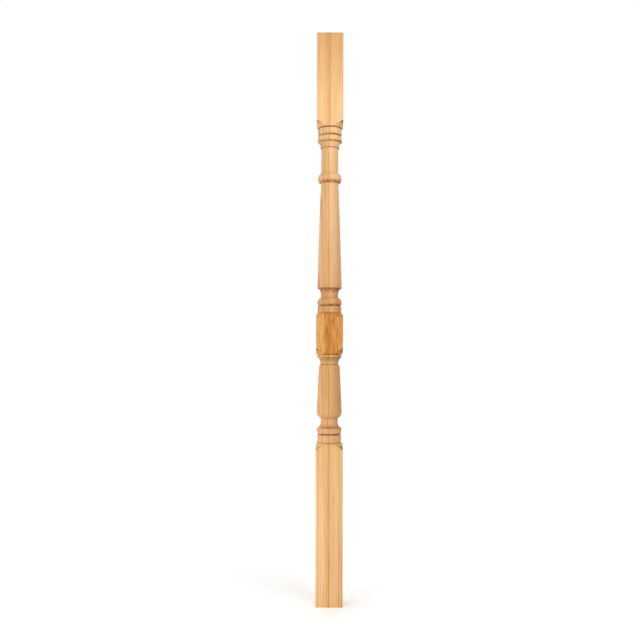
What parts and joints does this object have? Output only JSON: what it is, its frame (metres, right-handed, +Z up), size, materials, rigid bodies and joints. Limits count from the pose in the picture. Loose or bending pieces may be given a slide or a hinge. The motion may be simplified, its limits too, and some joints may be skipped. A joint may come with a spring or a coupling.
{
  "type": "stair baluster",
  "caption": "Turned softwood stair baluster: square bottom, middle and top blocks with a tapered shaft, a vase, beads and coves turned between them.",
  "frame": {"origin": "centre of the bottom end, on the turning axis", "axes": "+Z up along the turning axis to the top end; X and Y square to the flat sides of the blocks"},
  "size_m": [0.042, 0.042, 0.9],
  "materials": {
    "pine": "bare planed and turned softwood, sanded, without varnish"
  },
  "bodies": {
    "root": {"baluster": "pine"}
  },
  "joints": []
}
